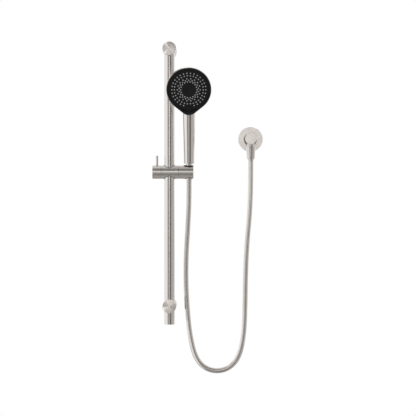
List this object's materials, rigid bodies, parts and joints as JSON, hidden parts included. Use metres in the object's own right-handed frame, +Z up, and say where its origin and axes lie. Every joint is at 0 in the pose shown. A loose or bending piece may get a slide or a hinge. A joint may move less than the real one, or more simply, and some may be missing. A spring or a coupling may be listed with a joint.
{
  "type": "handheld shower set",
  "caption": "Round wall rail with a cylindrical clamping slider, a handset with a black multi-spray face, a smooth hose and a round wall outlet elbow.",
  "frame": {"origin": "centre of the upper post's wall face", "axes": "+Z up along the rail, +Y into the wall, +X to the right seen from the front"},
  "size_m": [0.2597, 0.1212, 0.7765],
  "materials": {
    "brushed_nickel": "brushed nickel plating on brass",
    "spun_nickel": "spun brushed nickel disc",
    "steel": "plain stainless steel",
    "brass": "turned brass",
    "seal_rubber": "black sealing rubber",
    "grey_nylon": "grey nylon",
    "black_plastic": "black acetal",
    "plated_shell": "polished nickel plating on ABS",
    "black_face": "satin black",
    "grey_silicone": "grey silicone",
    "white_acetal": "white moulded plastic",
    "hose_silver": "satin silver PVC hose"
  },
  "bodies": {
    "wall_set": {"rail": "brushed_nickel", "rail_end_cap": "brushed_nickel", "upper_post": "brushed_nickel", "lower_post": "brushed_nickel", "upper_front_disc": "spun_nickel", "lower_front_disc": "spun_nickel", "upper_disc_o_ring": "seal_rubber", "lower_disc_o_ring": "seal_rubber", "upper_wall_plate": "steel", "lower_wall_plate": "steel", "rail_lock_screws": "steel", "post_grub_screws": "steel", "outlet_rose": "brushed_nickel", "outlet_elbow": "brushed_nickel", "check_valve_body": "white_acetal", "check_valve_spring": "steel", "outlet_hose_nut": "brushed_nickel", "outlet_hose_nipple": "brass", "outlet_ferrule": "brushed_nickel", "outlet_hose_washer": "seal_rubber", "hose": "hose_silver"},
    "carriage": {"upper_rail_bush": "grey_nylon", "lower_rail_bush": "grey_nylon"},
    "slider": {"slider_body": "brushed_nickel", "tilt_spindle": "steel", "tilt_friction_washer": "grey_nylon"},
    "knob": {"clamp_knob": "brushed_nickel", "clamp_pin": "brushed_nickel", "clamp_screw": "steel"},
    "brake": {"brake_pad": "grey_nylon"},
    "holder": {"holder": "brushed_nickel", "holder_liner": "black_plastic", "tilt_spring_washer": "steel"},
    "hose_end": {"handset_hose_nut": "brushed_nickel", "handset_hose_nipple": "brass", "handset_ferrule": "brushed_nickel", "handset_hose_washer": "seal_rubber"},
    "handset": {"handset_shell": "plated_shell", "face_surround": "black_face", "seat_plate": "white_acetal", "seat_screws": "steel", "centre_screw": "steel", "detent_ball": "steel", "detent_spring": "steel", "face_seal": "seal_rubber", "water_tube": "white_acetal", "handset_inlet": "white_acetal", "flow_limiter": "white_acetal"},
    "spray_selector": {"spray_plate": "black_face", "nozzle_mat": "grey_silicone", "selector_tab": "black_face", "centre_cap": "black_face", "diverter_disc": "white_acetal"},
    "valve": {"check_valve_poppet": "white_acetal"}
  },
  "joints": [
    {"name": "slider_height", "type": "slide", "parent": "wall_set", "child": "carriage", "axis": [0, 0, 1], "range_m": [-0.275, 0.24], "deforming": ["hose"]},
    {"name": "slider_swing", "type": "hinge", "parent": "carriage", "child": "slider", "pos_m": [0, -0.057, -0.287], "axis": [0, 0, 1], "range_deg": [-45, 15]},
    {"name": "clamp_turn", "type": "hinge", "parent": "slider", "child": "knob", "pos_m": [0, -0.057, -0.287], "axis": [1, 0, 0], "range_deg": [0, 100]},
    {"name": "brake_travel", "type": "slide", "parent": "slider", "child": "brake", "axis": [-1, 0, 0], "range_m": [0, 0.0003]},
    {"name": "holder_tilt", "type": "hinge", "parent": "slider", "child": "holder", "pos_m": [0.0214, -0.057, -0.287], "axis": [1, 0, 0], "range_deg": [0, 45]},
    {"name": "handset_lift", "type": "slide", "parent": "holder", "child": "hose_end", "axis": [0, -0.0872, 0.9962], "range_m": [0, 0.045]},
    {"name": "handset_swivel", "type": "hinge", "parent": "hose_end", "child": "handset", "pos_m": [0.046, -0.057, -0.287], "axis": [0, -0.0872, 0.9962], "range_deg": [-10, 90]},
    {"name": "spray_select", "type": "hinge", "parent": "handset", "child": "spray_selector", "pos_m": [0.046, -0.10457, -0.09893], "axis": [0, -0.9455, -0.3256], "range_deg": [-15, 15]},
    {"name": "valve_open", "type": "slide", "parent": "wall_set", "child": "valve", "axis": [0, 0, -1], "range_m": [0, 0.002], "stiffness_N_per_m": 80, "springref_m": -0.003, "deforming": ["check_valve_spring"]}
  ],
  "couplings": [
    {"joint": "brake_travel", "follows": "clamp_turn", "m_per_rad": 0.00017}
  ]
}
